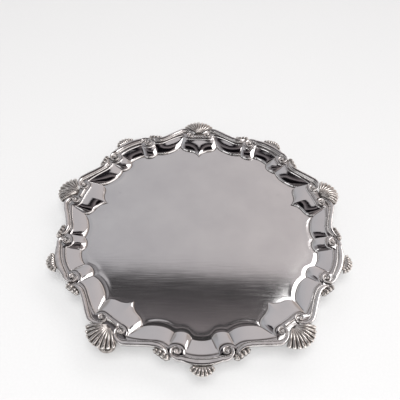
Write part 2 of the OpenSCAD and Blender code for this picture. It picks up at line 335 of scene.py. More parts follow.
# Underneath, the sheet follows the rim and is slightly thicker close to the corner.
CORNER, CORNER_EXTRA = 0.2, 0.25
for s in (0.95, 0.85, 0.7, 0.55, 0.42, 0.3, 0.22, 0.17, 0.13, 0.1, 0.07, 0.04):
    ring = rim_ring(s)
    thick = sheet_t * (1 + CORNER_EXTRA * (CORNER - s) * (s < CORNER))
    ring[:, 2] = np.maximum(ring[:, 2] - thick, -sheet_t)
    bottom.append(ring)
bottom += [with_height(face_edge * s, -sheet_t) for s in (0.997, 0.985, 0.95, 0.8, 0.6, 0.3, 0.004)]
tray_rings = np.array(top + seat_rings + bottom)

# %% Toning, painted shade and buffed face of the tray
# Bands of rings, from the first to the one past the last, and how dark each is made: partly toning and
# partly painted shade in the step's corner, at the feet of the raised line, on the seat and under the
# cut edge.
seat_end = seat_start + len(seat_rings)
corner_band = (face_rings - 2, face_rings + 3, 0.85)
inner_foot_of_line = (rim_rings + 2, rim_rings + 3, 0.5)
outer_foot_of_line = (seat_start - 2, seat_start, 0.9)
seat_band = (seat_start, seat_end, 0.35)
cut_edge = (seat_end - 1, seat_end + 4, 1.0)
tray_toning_and_shade = np.zeros(tray_rings.shape[:2])
for first, past, toning_and_shade_depth in (corner_band, inner_foot_of_line, outer_foot_of_line, seat_band,
                           cut_edge):
    tray_toning_and_shade[first:past] = toning_and_shade_depth
# Painted shade lies along each crease, but not in the corner nor against the raised line.
crease_at = np.flatnonzero(crown < 0)
tray_toning_and_shade[face_rings + 5:rim_rings - 1, crease_at] = CREASE_SHADE
# The face is buffed above, and so is the flat middle of the underside.
UNDER_MIDDLE = 8
buffed = np.zeros(tray_rings.shape[:2])
buffed[:face_rings - 1] = 1
buffed[-UNDER_MIDDLE:] = 1
tray = piece_from_rings("tray_plate_raised", tray_rings, tray_toning_and_shade, buffed,
                        sharp=math.radians(24))
creases = bmesh.new()
creases.from_mesh(tray.data)
creases.verts.ensure_lookup_table()
n_round = tray_rings.shape[1]
for j in range(face_rings, rim_rings + 1):
    for i in crease_at.tolist():
        edge = creases.edges.get((creases.verts[j * n_round + i],
                                  creases.verts[(j + 1) * n_round + i]))
        if edge:
            edge.smooth = False
creases.to_mesh(tray.data)
creases.free()
set_in_place(tray, "tray_plate", "tray_silver")
print("tray faces", len(tray.data.polygons), "creases", len(crease_at))

# %% [markdown]
# ## Reeded scrolls
# The border is a moulding with a broad rounded reed outside and a fine reed inside, cast in
# lengths that wind into tight curls. A bevelled curve would give one section all along, but
# the real moulding narrows towards each curl and stands taller at its eye, so the section is
# swept along stations that each have their own width and height.

# %% Section of the reeded moulding
# Across the moulding from its outer edge (-1) to its inner edge (1): a steep outer side, a
# broad reed that slopes gently inwards, a fine groove and a fine inner reed. Each knot has
# its place across, its height and how dark it is made: toning and painted shade in the fine
# groove, and painted shade along the foot of each side where the moulding meets the rim.
reed_knots = [(-0.86, -0.12, 1.0), (-0.95, 0.12, 1.0), (-1.0, 0.36, 0.8),
              (-0.99, 0.58, 0.3), (-0.93, 0.8, 0), (-0.83, 0.94, 0), (-0.68, 1.0, 0),
              (-0.45, 0.985, 0), (-0.2, 0.94, 0), (0.05, 0.88, 0), (0.24, 0.8, 0),
              (0.38, 0.69, 0.15), (0.46, 0.56, 0.6), (0.5, 0.5, 1.0), (0.54, 0.56, 0.6),
              (0.6, 0.64, 0.1), (0.69, 0.68, 0),
              (0.79, 0.66, 0), (0.88, 0.58, 0), (0.95, 0.42, 0.3), (1.0, 0.2, 0.8),
              (1.0, -0.12, 1.0)]
reed_x, reed_z, reed_toning_and_shade = np.array(reed_knots).T


def swept_reed(stations):
    """Rings of the moulding along rows of x, y, width and height, with each point's darkening for
    toning and painted shade.
    """
    st = np.array(stations, float)
    ahead = np.gradient(st[:, :2], axis=0)
    ahead = ahead / np.linalg.norm(ahead, axis=1)[:, None]
    right = np.stack([ahead[:, 1], -ahead[:, 0]], axis=1)
    across = reed_x[None, :, None] * right[:, None, :] * st[:, None, 2:3] / 2
    plan = (st[:, None, :2] + across) * drawn_scale
    z = seat_z + reed_z[None, :] * st[:, 3:4]
    return np.dstack([plan, z]), np.tile(reed_toning_and_shade, (len(st), 1))


def domed_eye(centre, radius, height):
    """The little dome at the middle of a curl, as rings from its foot to its top."""
    rings = []
    for lift in np.radians((0, 12, 26, 40, 54, 68, 80, 89)):
        a = np.radians(np.arange(0, 360, 18))
        r = radius * math.cos(lift)
        rings.append(np.stack([drawn_scale * (centre[0] + r * np.cos(a)),
                               drawn_scale * (centre[1] + r * np.sin(a)),
                               np.full(len(a), seat_z + height * (0.35 + 0.65 * math.sin(lift)))],
                              axis=1))
    return np.array(rings)


# %% Stations of the curls and runs
# Curls are rows of turn in degrees, distance from the eye, width and height. The tables give
# heights for an eye EYE_H high, and the frame sets the height that the eye really has.
EYE_H, EYE_RADIUS = 3.8, 1.5
RUN_SPACING = 0.8
shell_curl = [(-18, 10.4, 5.2, 3.4), (0, 8.5, 4.8, 3.3), (25, 6.3, 4, 3.1), (50, 4.9, 3.2, 2.9),
              (90, 4, 2.7, 2.7), (180, 3.5, 2.4, 2.6), (270, 2.7, 2, 2.8), (360, 2, 1.7, 3.1),
              (450, 1.3, 1.7, 3.5), (540, 0.85, 1.4, 3.8)]
arch_curl = [(-34, 7.3, 5.4, 3.4), (0, 5.7, 4.2, 3.2), (45, 4.8, 3.4, 3), (90, 4.3, 2.9, 2.8),
             (180, 3.5, 2.5, 2.7), (270, 2.7, 2, 2.8), (360, 2, 1.7, 3.1), (450, 1.3, 1.7, 3.5),
             (540, 0.85, 1.4, 3.8)]
shell_eye = from_shell(10.4, 129.6)
arch_eye = (20.8, 128)
eye_lift = curl_top / EYE_H


def curl_stations(eye, table, steps):
    """Stations winding in round an eye, as rows of x, y, width and height."""
    table = np.array(table, float)
    turn = np.linspace(table[0, 0], table[-1, 0], steps)
    r, w, h = smooth_through(table[:, 0], table[:, 1:], turn).T
    a = np.radians(turn)
    return np.stack([eye[0] + r * np.sin(a), eye[1] + r * np.cos(a), w, h * eye_lift], axis=1)


def along(rows, spacing):
    """Stations spaced evenly along a smooth line through the given ones."""
    rows = np.array(rows, float)
    at = np.concatenate([[0], np.cumsum(np.linalg.norm(np.diff(rows[:, :2], axis=0), axis=1))])
    return smooth_through(at, rows, np.linspace(0, at[-1], max(2, round(at[-1] / spacing))))


long_start = [(28.8, 130.1, 2.4, 2), (29.8, 127.7, 3.5, 2.5), (32, 125.2, 4.6, 2.8),
              (35.6, 123, 5.2, scroll_h), (40, 122, 5.4, scroll_h), (46, 121.5, 5.4, scroll_h),
              (52, 121.3, 5.4, scroll_h), (58, 121.2, 5.4, scroll_h)]
shell_curl_run = curl_stations(shell_eye, shell_curl, 90)
long_run = along(long_start + [tuple(shell_curl_run[0])], RUN_SPACING)
long_stations = np.vstack([long_run[:-1], shell_curl_run])
arch_curl_run = curl_stations(arch_eye, arch_curl, 90)
arch_start = [(-6, 136.5, 7.1, scroll_h), (0, 136.8, 7.2, scroll_h), (6, 136.5, 7.1, scroll_h),
              (11, 135.6, 6.6, scroll_h)]
arch_half = np.vstack([along(arch_start + [tuple(arch_curl_run[0])], RUN_SPACING),
                       arch_curl_run[1:]])
# Only the stations right of the middle are kept, and the left half mirrors them.
first_right = int(np.argmax(arch_half[:, 0] > 0.3))
arch_half = arch_half[first_right:]
arch_stations = np.vstack([arch_half[::-1] * (-1, 1, 1, 1), arch_half])
print("stations", len(long_stations), len(arch_stations))

# %% Cast the scrolls
long_rings, long_toning_and_shade = swept_reed(long_stations)
arch_rings, arch_toning_and_shade = swept_reed(arch_stations)
shell_dome = domed_eye(shell_eye, EYE_RADIUS, curl_top)
arch_dome = domed_eye(arch_eye, EYE_RADIUS, curl_top)
mirrored_dome = domed_eye((-arch_eye[0], arch_eye[1]), EYE_RADIUS, curl_top)


def place(rings, degrees, mirrored=False):
    """Rings of a piece, mirrored if asked, turned to their place round the tray."""
    rings = np.array(rings)
    return turned(rings, degrees, mirrored).reshape(rings.shape)


for i in LOBES:
    a = lobe_turn(i)
    for side, mirrored in (("left", False), ("right", True)):
        scroll = piece_from_rings(f"{side}_scroll_{i}_cast", place(long_rings, a, mirrored),
                                  long_toning_and_shade, parts=[(place(shell_dome, a, mirrored), None)])
        set_in_place(scroll, f"{side}_scroll_{i}", "border_silver")
    arch = piece_from_rings(f"arch_scroll_{i}_cast", place(arch_rings, a), arch_toning_and_shade,
                            parts=[(place(arch_dome, a), None), (place(mirrored_dome, a), None)])
    set_in_place(arch, f"arch_scroll_{i}", "border_silver")
print("scroll faces", len(scroll.data.polygons), "arch faces", len(arch.data.polygons))

# %% [markdown]
# ## Leaves over the joints
# Where two scrolls meet, a small leaf with rounded lobes covers the joint. Spheres pushed
# together would show hard seams, so the leaf is one surface: a midline along the lobes, with a
# width and a height that swell and pinch between them, and fine veins cut across each lobe.

# %% Shape a leaf
BEDDING = 0.1
LOBE_REACH = 2.35
VEIN_CUT, VEIN_TURNS = 0.09, 2.6
leaf_middle = [(40.2, 126), (38.2, 127), (34.7, 129), (31.3, 131.4), (27.9, 133.5), (26, 134.6)]
leaf_width = [0.25, 2.1, 2.6, 2.75, 2.45, 0.5]
leaf_rise = [0.3, 2.4, 2.9, 3.3, 2.9, 0.4]
leaf_rows = [(p[0], p[1], w, h) for p, w, h in zip(leaf_middle, leaf_width, leaf_rise)]
leaf_line = along(leaf_rows, 0.28)
leaf_steps = np.concatenate([[0], np.cumsum(np.linalg.norm(np.diff(leaf_line[:, :2], axis=0),
                                                           axis=1))])
lobe_at = np.array([np.argmin(np.linalg.norm(leaf_line[:, :2] - q, axis=1))
                    for q in leaf_middle[1:5]])
lobe_centres = leaf_steps[lobe_at]


def leaf_section(step, row, ahead):
    """One ring across the leaf: a dome pinched between lobes, with a fluted crown."""
    gap = np.min(np.abs(lobe_centres - step))
    pinch = max(0.0, 1 - (gap / LOBE_REACH) ** 2) ** 0.5
    half = row[2] * (0.5 + 0.52 * pinch)
    rise = row[3] * (0.3 + 0.7 * pinch)
    u = np.cos(np.linspace(math.pi, 0, 25))
    dome = np.sqrt(np.clip(1 - u ** 2, 0, 1))
    veins = 1 - np.abs(np.cos(u * VEIN_TURNS * math.pi))
    flutes = 1 - VEIN_CUT * veins * dome
    right = np.array([ahead[1], -ahead[0]])
    plan = (row[:2] + u[:, None] * right * half) * drawn_scale
    ring = np.column_stack([plan, seat_z + rise * dome * flutes - BEDDING])
    # Darkening: toning in the veins, and painted shade in the pinches between lobes and along the low
    # edges where the leaf meets the rim.
    toning_and_shade_depth = np.clip((1 - pinch) * 1.3, 0, 1) + 0.5 * veins
    return ring, np.clip(toning_and_shade_depth + 0.8 * (dome < 0.35), 0, 1)


leaf_ahead = np.gradient(leaf_line[:, :2], axis=0)
leaf_ahead /= np.linalg.norm(leaf_ahead, axis=1)[:, None]
leaf_sections = [leaf_section(s, r, a) for s, r, a in zip(leaf_steps, leaf_line, leaf_ahead)]
leaf_rings = np.array([r for r, _ in leaf_sections])
leaf_toning_and_shade = np.array([h for _, h in leaf_sections])
for i in LOBES:
    for side, mirrored in (("left", False), ("right", True)):
        leaf = piece_from_rings(f"{side}_leaf_{i}_cast",
                                place(leaf_rings, lobe_turn(i), mirrored), leaf_toning_and_shade)
        set_in_place(leaf, f"{side}_leaf_{i}", "shell_silver")
print("leaf faces", len(leaf.data.polygons))

# %% [markdown]
# ## Fluted shells
# Large shells sit between the lobes and small ones on their middles. Each is a fan of rounded
# ribs from a hinge, with sharp valleys, a scalloped edge and a thin cast underside. An array
# of one rib would not share its valleys with its neighbours, so the whole fan is one skin of
# sections that sweep round the hinge.

# %% Fan sections
SHELL_T = 1.8
RIB_RISE = 0.44
RIB_FULLNESS = 0.65
SCALLOP = 1.3
DOME_START, DOME_SWEEP = 25, 130
EDGE_START, EDGE_ROUNDING = 0.9, 0.45


def fan_ring(b, hinge, inner, bow, outer, side, flutes, spread, rise, drop, relief):
    """One section from the hinge out to the scalloped edge, over the top and back below."""
    angle = math.radians(b)
    rib = abs(math.cos(angle * flutes * math.pi / 2 / math.radians(spread))) ** RIB_FULLNESS
    if bow and abs(b) > 1:
        q, c = bow * math.sin(angle) ** 2, math.cos(angle)
        start = (math.sqrt(c * c + 4 * q * inner) - c) / (2 * q)
    else:
        start = inner
    side_pull = (math.sin(angle) / math.sin(math.radians(spread))) ** 2
    reach = outer + (side - outer) * side_pull - SCALLOP * (1 - rib)
    tops = np.array([0, 0.04, 0.1, 0.18, 0.27, 0.37, 0.47, 0.57, 0.67, 0.76, 0.84, 0.91, 0.96, 1.0])
    lift = rise * np.sin(np.radians(DOME_START + DOME_SWEEP * tops)) - drop * tops ** 2
    lift = lift + RIB_RISE * tops + relief * tops ** 0.8 * (rib - 1)
    rounding = np.where(tops > EDGE_START, EDGE_ROUNDING * ((tops - EDGE_START) / 0.1) ** 2, 0)
    under = np.array([1.0, 0.97, 0.85, 0.65, 0.45, 0.3, 0.2, 0])
    low = np.interp(under, tops, lift) - SHELL_T * (0.55 + 0.45 * (1 - under))
    low = np.where(under < 0.3, np.minimum(low, 0.0), low)
    shares = np.concatenate([tops, under])
    z = seat_z + np.concatenate([lift - rounding, low])
    r = (start + shares * (reach - start)) * drawn_scale
    ring = np.stack([r * math.sin(angle), hinge * drawn_scale + r * math.cos(angle), z], axis=1)
    # Darkening: toning and painted shade in the valleys, and painted shade at the hinge and under the
    # shell.
    valley = (1 - rib) * np.clip(0.25 + tops, 0, 1)
    toning_and_shade_depth = np.concatenate([valley, 0.6 * np.ones(len(under))])
    toning_and_shade_depth[:2] = np.maximum(toning_and_shade_depth[:2], 0.8)
    return ring, toning_and_shade_depth


def fan(flutes, spread, fine, **shape):
    """Rings of a whole shell that spreads so many degrees each way, with each point's darkening for
    toning and painted shade.
    """
    sections = [fan_ring(b, flutes=flutes, spread=spread, **shape)
                for b in np.linspace(-spread, spread, flutes * fine + 1)]
    return np.array([r for r, _ in sections]), np.array([d for _, d in sections])


# %% Cast the shells
SMALL_HINGE = 136
small_reach = -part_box("small_shell_1")[0].y / MM / drawn_scale - SMALL_HINGE
large_rings, large_toning_and_shade = fan(9, 57, 12, hinge=130.6, inner=1.6, bow=0, outer=21.4, side=20.2,
                                rise=3.8, drop=0.3, relief=1.7)
small_rings, small_toning_and_shade = fan(7, 61, 12, hinge=SMALL_HINGE, inner=4.5, bow=0.0125, outer=small_reach,
                                side=small_reach - 0.3, rise=2.8, drop=0.4, relief=1.3)
for i in LOBES:
    large = piece_from_rings(f"large_shell_{i}_cast", place(large_rings, shell_turn(i)),
                             large_toning_and_shade)
    set_in_place(large, f"large_shell_{i}", "shell_silver")
    small = piece_from_rings(f"small_shell_{i}_cast", place(small_rings, lobe_turn(i)),
                             small_toning_and_shade)
    set_in_place(small, f"small_shell_{i}", "shell_silver")
print("large shell faces", len(large.data.polygons), "small", len(small.data.polygons),
      "small reach", round(small_reach, 2))

# %% [markdown]
# ## Bars behind the large shells
# A short half-round bar joins the two curls behind each large shell. It is cast with a slight
# waist, so it is swept from half-round sections that narrow towards the middle.

# %% Cast the bars
BAR_AT, BAR_HALF_LENGTH, BAR_HALF_WIDTH, BAR_H, BAR_WAIST = 127, 5, 1.75, 2.7, 0.1
BAR_SECTIONS, BAR_POINTS = 25, 19
bar_rings = []
for s in np.linspace(-BAR_HALF_LENGTH, BAR_HALF_LENGTH, BAR_SECTIONS):
    swell = 1 - BAR_WAIST * math.cos(s / BAR_HALF_LENGTH * math.pi / 2)
    a = np.radians(np.linspace(180, 0, BAR_POINTS))
    bar_rings.append(np.stack([np.full(BAR_POINTS, s * drawn_scale),
                               drawn_scale * (BAR_AT + BAR_HALF_WIDTH * swell * np.cos(a)),
                               seat_z - BEDDING + BAR_H * swell * np.sin(a)], axis=1))
bar_rings = np.array(bar_rings)
# The bar's foot along the rim is darkened as painted shade.
along_foot = np.abs(np.linspace(-1, 1, BAR_POINTS)) > 0.85
bar_toning_and_shade = np.tile(np.where(along_foot, 0.9, 0.0), (BAR_SECTIONS, 1))
for i in LOBES:
    bar = piece_from_rings(f"shell_bar_{i}_cast", place(bar_rings, shell_turn(i)), bar_toning_and_shade)
    set_in_place(bar, f"shell_bar_{i}", "border_silver")
print("bar faces", len(bar.data.polygons))

# %% [markdown]
# ## Cast feet
# Three small cast feet lift the tray: a fluted toe stands on the table, a waist rises from it
# and a spread pad is soldered under the rim. A turned shape would be round all the way up, so
# the foot is a skin over ovals whose centres lean in towards the tray.

# %% Cast the feet
# Each oval has its share of the height, its centre's reach, and half its depth and width.
foot_rings = [(0, 138.6, 6.4, 7.4), (0.07, 138.8, 7.6, 8.6), (0.2, 137.8, 7.8, 8.6),
              (0.32, 135.2, 6.8, 7.3), (0.44, 132, 5, 5.3), (0.58, 129.4, 3.8, 4.3),
              (0.74, 127.8, 3.3, 4.3), (0.9, 128.2, 3.4, 5.8), (1, 128.6, 3.6, 7.5)]
drawn_reach = foot_rings[0][1]
foot_rise = seat_z - sheet_t - floor_z / MM
foot_table = np.array(foot_rings)
around = np.radians(np.arange(0, 360, 5))
TUCK, TUCK_END = 0.1, 0.03
TOE_AT, TOE_FLUTING, TOE_FLUTES = 0.17, 0.05, 4.5


def cast_foot(reach):
    """Rings of a foot whose toe is that far from the tray's middle, on the +y axis."""
    rings, toning_and_shade_rows = [], []
    shares = np.concatenate([[0, 0.008, 0.02, 0.04], np.linspace(0.07, 1, 44)])
    for share in shares:
        out, deep, wide = smooth_through(foot_table[:, 0], foot_table[:, 1:], [share])[0]
        tuck = 1 - TUCK * max(0, 1 - share / TUCK_END) ** 2
        toe = max(0, 1 - abs(share - TOE_AT) / TOE_AT)
        valley = ((1 - np.abs(np.cos(around * TOE_FLUTES + math.pi / 4)))
                  * (np.sin(around) > -0.2))
        fluting = 1 - TOE_FLUTING * toe * valley
        x = drawn_scale * wide * tuck * fluting * np.cos(around)
        y = drawn_scale * (out - drawn_reach + deep * tuck * fluting * np.sin(around)) + reach
        rings.append(np.stack([x, y, np.full(len(around), floor_z / MM + share * foot_rise)],
                              axis=1))
        # Darkening: toning and painted shade in the toe's flutes, and painted shade at the top under
        # the tray and at the sole on the table.
        joint_and_sole_shade = 0.7 * (share > 0.93) + 0.3 * (share < 0.02)
        toning_and_shade_rows.append(np.clip(0.6 * toe * valley + joint_and_sole_shade, 0, 1))
    return np.array(rings), np.array(toning_and_shade_rows)


feet_at = {"foot_1": "front_left_foot", "foot_2": "right_foot", "foot_3": "back_left_foot"}
mounts = {m["name"]: m["pos_m"] for m in frame["record"]["mounts"]}
for foot_node, mount in feet_at.items():
    x, y, _ = mounts[mount]
    rings, toning_and_shade_rows = cast_foot(math.hypot(x, y) / MM)
    foot = piece_from_rings(f"{foot_node}_cast",
                            place(rings, math.degrees(math.atan2(y, x)) - 90), toning_and_shade_rows)
    set_in_place(foot, foot_node, "foot_silver")
    print(foot_node, "reach", round(math.hypot(x, y) / MM, 1), "faces", len(foot.data.polygons))

# %% [markdown]
# ## Silver finishes
# Silver reflects almost all light with a faint warm tint, so its look comes from how smooth it
# is and from the brown toning that polishing cloths leave in hollows. A single glossy metal
# would look like plastic chrome, so each finish mixes bright metal with a dark brown by each
# point's darkening, which is partly that toning and partly painted shade in valleys, creases,
# under edges and where parts meet, and varies its roughness with fine polishing marks worked
# out in millimetres.

# %% Colour and node helpers
def linear(hex_colour):
    """An sRGB hex colour as linear RGBA."""
    parts = [int(hex_colour[i:i + 2], 16) / 255 for i in (1, 3, 5)]
    return tuple(c / 12.92 if c <= 0.04045 else ((c + 0.055) / 1.055) ** 2.4
                 for c in parts) + (1,)


def node(tree, kind, settings=None, links=None):
    """Adds a node, sets its fields or inputs, and links sources to its inputs."""
    made = tree.nodes.new(kind)
    for name, value in (settings or {}).items():
        if name == "stops":
            ramp = made.color_ramp.elements
            while len(ramp) < len(value):
                ramp.new(0.5)
            for stop, (at, colour) in zip(ramp, value):
                stop.position = at
                stop.color = colour
        elif isinstance(name, int) or name in made.inputs:
            made.inputs[name].default_value = value
        else:
            setattr(made, name, value)
    for name, source in (links or {}).items():
        tree.links.new(source, made.inputs[name])
    return made


def per_mm(size):
    """The texture scale that repeats about every so many millimetres."""
    return 1 / (size * MM)


def grey(value):
    return (value, value, value, 1)


def new_finish(name):
    finish = bpy.data.materials.new(name)
    finish.use_nodes = True
    finish.node_tree.nodes.clear()
    return finish, finish.node_tree


# %% [markdown]
# ## Buffed sheet silver, for the tray
# The plate is hammered, planished and then buffed by hand. The serving face keeps a soft grain
# of fine straight rubbing marks and a faint waver from the planishing hammer, so reflections
# blur a little there, while the rim is burnished bright. Years of use leave hairline scratches.

# %% Make the buffed sheet silver
def buffed_sheet_silver():
    finish, tree = new_finish("buffed_sheet_silver")
    place_at = node(tree, "ShaderNodeTexCoord").outputs["Object"]
    buff = node(tree, "ShaderNodeAttribute", {"attribute_name": "buffed"}).outputs["Fac"]
    hollow = node(tree, "ShaderNodeAttribute", {"attribute_name": "hollow"}).outputs["Fac"]
    grain_place = node(tree, "ShaderNodeMapping",
                       {"Scale": (per_mm(34), per_mm(1.3), per_mm(1.3))}, {"Vector": place_at})
    grain = node(tree, "ShaderNodeTexNoise", {"Scale": 1.0, "Detail": 4.0, "Roughness": 0.6},
                 {"Vector": grain_place.outputs[0]}).outputs["Fac"]
    cross_place = node(tree, "ShaderNodeMapping",
                       {"Rotation": (0, 0, math.radians(68)),
                        "Scale": (per_mm(34), per_mm(0.8), per_mm(0.8))}, {"Vector": place_at})
    cross = node(tree, "ShaderNodeTexNoise", {"Scale": 1.0, "Detail": 5.0},
                 {"Vector": cross_place.outputs[0]}).outputs["Fac"]
    scratches = node(tree, "ShaderNodeValToRGB",
                     {"stops": [(0.0, grey(0)), (0.66, grey(0)), (0.7, grey(1)), (0.73, grey(0))]},
                     {"Fac": cross}).outputs[0]
    cloud = node(tree, "ShaderNodeTexNoise", {"Scale": per_mm(38), "Detail": 5.0},
                 {"Vector": place_at}).outputs["Fac"]
    waver = node(tree, "ShaderNodeTexNoise", {"Scale": per_mm(30), "Detail": 1.0},
                 {"Vector": place_at}).outputs["Fac"]
    # Colour: a faint film on the face that varies at random, and a dark brown in the corner along the
    # border line, along the creases and under the edge, partly toning and partly painted shade.
    film = node(tree, "ShaderNodeValToRGB",
                {"stops": [(0.3, linear("#EDEBEB")), (0.7, linear("#F8F6F5"))]}, {"Fac": cloud})
    toning_and_shade_share = node(tree, "ShaderNodeMath", {"operation": "MULTIPLY", 1: 0.8}, {0: hollow})
    colour = node(tree, "ShaderNodeMix", {"data_type": "RGBA", 7: linear("#463E3A")},
                  {0: toning_and_shade_share.outputs[0], 6: film.outputs[0]})
    rub = node(tree, "ShaderNodeMapRange", {"From Min": 0.3, "From Max": 0.7, "To Min": 0.06,
                                            "To Max": 0.1}, {"Value": grain}).outputs[0]
    patch = node(tree, "ShaderNodeMath", {"operation": "MULTIPLY_ADD", 1: 0.02}, {0: cloud, 2: rub})
    scored = node(tree, "ShaderNodeMath", {"operation": "MULTIPLY_ADD", 1: 0.06},
                  {0: scratches, 2: patch.outputs[0]})
    bright = node(tree, "ShaderNodeMath", {"operation": "MULTIPLY_ADD", 1: 0.05, 2: 0.03},
                  {0: cloud})
    rough = node(tree, "ShaderNodeMix", {"data_type": "FLOAT"},
                 {0: buff, 2: bright.outputs[0], 3: scored.outputs[0]})
    planished = node(tree, "ShaderNodeBump", {"Strength": 1.0, "Distance": 0.05 * MM},
                     {"Height": waver})
    marks = node(tree, "ShaderNodeBump", {"Strength": 1.0, "Distance": 0.01 * MM},
                 {"Height": grain, "Normal": planished.outputs[0]})
    haze = node(tree, "ShaderNodeMapRange", {"To Min": 1.0, "To Max": 0.93}, {"Value": buff})
    shader = node(tree, "ShaderNodeBsdfPrincipled", None,
                  {"Base Color": colour.outputs[2], "Roughness": rough.outputs[0],
                   "Normal": marks.outputs[0], "Metallic": haze.outputs[0]})
    node(tree, "ShaderNodeOutputMaterial", links={"Surface": shader.outputs[0]})
    return finish


# %% [markdown]
# ## Cast silver, burnished, toned and shaded
# Castings keep a slightly grainy skin from the sand mould. The high parts are rubbed bright
# and the hollows keep a brown sulphide film. The same dark brown is also painted shade in
# valleys, under edges and where parts meet, which is what makes flutes and curls read clearly.
# One finish serves the scrolls, one the shells and leaves, and one the feet: they differ in
# how much toning and painted shade they take and how coarse the casting skin is, because feet
# get less polish. The feet's bright colour is also darker, as painted shade under the tray.

# %% Make the cast silver finishes
def cast_silver(name, bright, toned_and_shaded, toning_and_shade_share, smooth, grain_mm, grain_depth):
    """A casting rubbed bright on its high parts, darkened in its hollows by toning and painted shade.
    """
    finish, tree = new_finish(name)
    place_at = node(tree, "ShaderNodeTexCoord").outputs["Object"]
    hollow = node(tree, "ShaderNodeAttribute", {"attribute_name": "hollow"}).outputs["Fac"]
    patch = node(tree, "ShaderNodeTexNoise", {"Scale": per_mm(5), "Detail": 4.0},
                 {"Vector": place_at}).outputs["Fac"]
    skin_grain = node(tree, "ShaderNodeTexNoise", {"Scale": per_mm(grain_mm), "Detail": 3.0},
                      {"Vector": place_at}).outputs["Fac"]
    reach = node(tree, "ShaderNodeMath", {"operation": "MULTIPLY_ADD", 1: 0.9, 2: -0.4},
                 {0: patch})
    toning_and_shade_depth = node(tree, "ShaderNodeMath", {"operation": "ADD", "use_clamp": True},
                 {0: hollow, 1: reach.outputs[0]})
    toning_and_shade_kept = node(tree, "ShaderNodeMath", {"operation": "MULTIPLY", 1: toning_and_shade_share, "use_clamp": True},
                {0: toning_and_shade_depth.outputs[0]})
    colour = node(tree, "ShaderNodeMix", {"data_type": "RGBA", 6: linear(bright),
                                          7: linear(toned_and_shaded)}, {0: toning_and_shade_kept.outputs[0]})
    rough = node(tree, "ShaderNodeMapRange", {"From Min": 0.0, "From Max": 1.0, "To Min": smooth,
                                              "To Max": smooth + 0.28},
                 {"Value": toning_and_shade_depth.outputs[0]})
    skin_bump = node(tree, "ShaderNodeBump", {"Strength": 0.5, "Distance": grain_depth * MM},
                     {"Height": skin_grain})
    shader = node(tree, "ShaderNodeBsdfPrincipled", {"Metallic": 1.0},
                  {"Base Color": colour.outputs[2], "Roughness": rough.outputs[0],
                   "Normal": skin_bump.outputs[0]})
    node(tree, "ShaderNodeOutputMaterial", links={"Surface": shader.outputs[0]})
    return finish


finishes = {
    "tray_silver": buffed_sheet_silver(),
    "border_silver": cast_silver("burnished_cast_silver", "#F5F2F0", "#3A302C", 0.9, 0.08, 0.9,
                                 0.012),
    "shell_silver": cast_silver("toned_and_shaded_cast_silver", "#F8F3EE", "#2A1C14", 1.0, 0.08, 0.7, 0.01),
    # The feet's bright colour is darker than the other castings', as painted shade for feet under the
    # tray's rim.
    "foot_silver": cast_silver("foot_cast_silver", "#C9C2BD", "#332A26", 1.0, 0.07, 1.1, 0.015)}
for slot, pieces in made_pieces.items():
    for piece in pieces:
        piece.data.materials.append(finishes[slot])
    print(slot, len(pieces), "pieces in", finishes[slot].name)

# %% [markdown]
# ## Floor and studio
# Silver shows its surroundings, so the studio is part of the finish. The tray stands on a pale
# table inside a pale tent that is open and dark above. The flat face mirrors the tent's back
# wall, and the rim's far panels mirror the dark opening with the lamps in it. A plain white
# world would make the metal look like paper, because a mirror needs something dark to show.
# Three of the lamps light only the table, so its tone is set apart from the silver's.

# %% Pale floor
# The paper glows very faintly, which lightens the shadow under the tray.
floor_mesh = bpy.data.meshes.new("pale_floor")
span = 6.0
floor_mesh.from_pydata([(-span, -span, floor_z), (span, -span, floor_z), (span, span, floor_z),
                        (-span, span, floor_z)], [], [(0, 1, 2, 3)])
floor = bpy.data.objects.new("pale_floor", floor_mesh)
bpy.context.scene.collection.objects.link(floor)
paper, tree = new_finish("white_paper_floor")
fibre = node(tree, "ShaderNodeTexNoise", {"Scale": per_mm(2), "Detail": 2.0},
             {"Vector": node(tree, "ShaderNodeTexCoord").outputs["Object"]}).outputs["Fac"]
paper_tone = node(tree, "ShaderNodeValToRGB", {"stops": [(0.3, linear("#ABABAB")),
                                                         (0.7, linear("#AEAEAE"))]},
                  {"Fac": fibre})
paper_shader = node(tree, "ShaderNodeBsdfPrincipled",
                    {"Roughness": 0.9, "Emission Color": (1, 1, 1, 1), "Emission Strength": 0.15},
                    {"Base Color": paper_tone.outputs[0]})
node(tree, "ShaderNodeOutputMaterial", links={"Surface": paper_shader.outputs[0]})
floor_mesh.materials.append(paper)

# %% Tent and dark opening
# The tent stands square to the camera, and the tray is turned by this much from both.
TRAY_TURN = 3.07
world = bpy.data.worlds.new("pale_tent")
bpy.context.scene.world = world
world.use_nodes = True
sky = world.node_tree
sky.nodes.clear()
look = node(sky, "ShaderNodeMapping", {"vector_type": "TEXTURE",
                                       "Rotation": (0, 0, math.radians(-TRAY_TURN))},
            {"Vector": node(sky, "ShaderNodeTexCoord").outputs["Generated"]}).outputs[0]
split = node(sky, "ShaderNodeSeparateXYZ", links={0: look})
sideways = node(sky, "ShaderNodeMath", {"operation": "ABSOLUTE"}, {0: split.outputs["X"]})
ahead = node(sky, "ShaderNodeMath", {"operation": "ABSOLUTE"}, {0: split.outputs["Y"]})
to_wall = node(sky, "ShaderNodeMath", {"operation": "MAXIMUM"},
               {0: sideways.outputs[0], 1: ahead.outputs[0]})
rise = node(sky, "ShaderNodeMath", {"operation": "ARCTAN2"},
            {0: split.outputs["Z"], 1: to_wall.outputs[0]})
share_up = node(sky, "ShaderNodeMath", {"operation": "MULTIPLY", 1: 1 / math.radians(90)},
                {0: rise.outputs[0]})


def up(degrees):
    """The place on the ramp for a height above the table, seen square to a wall."""
    return degrees / 90


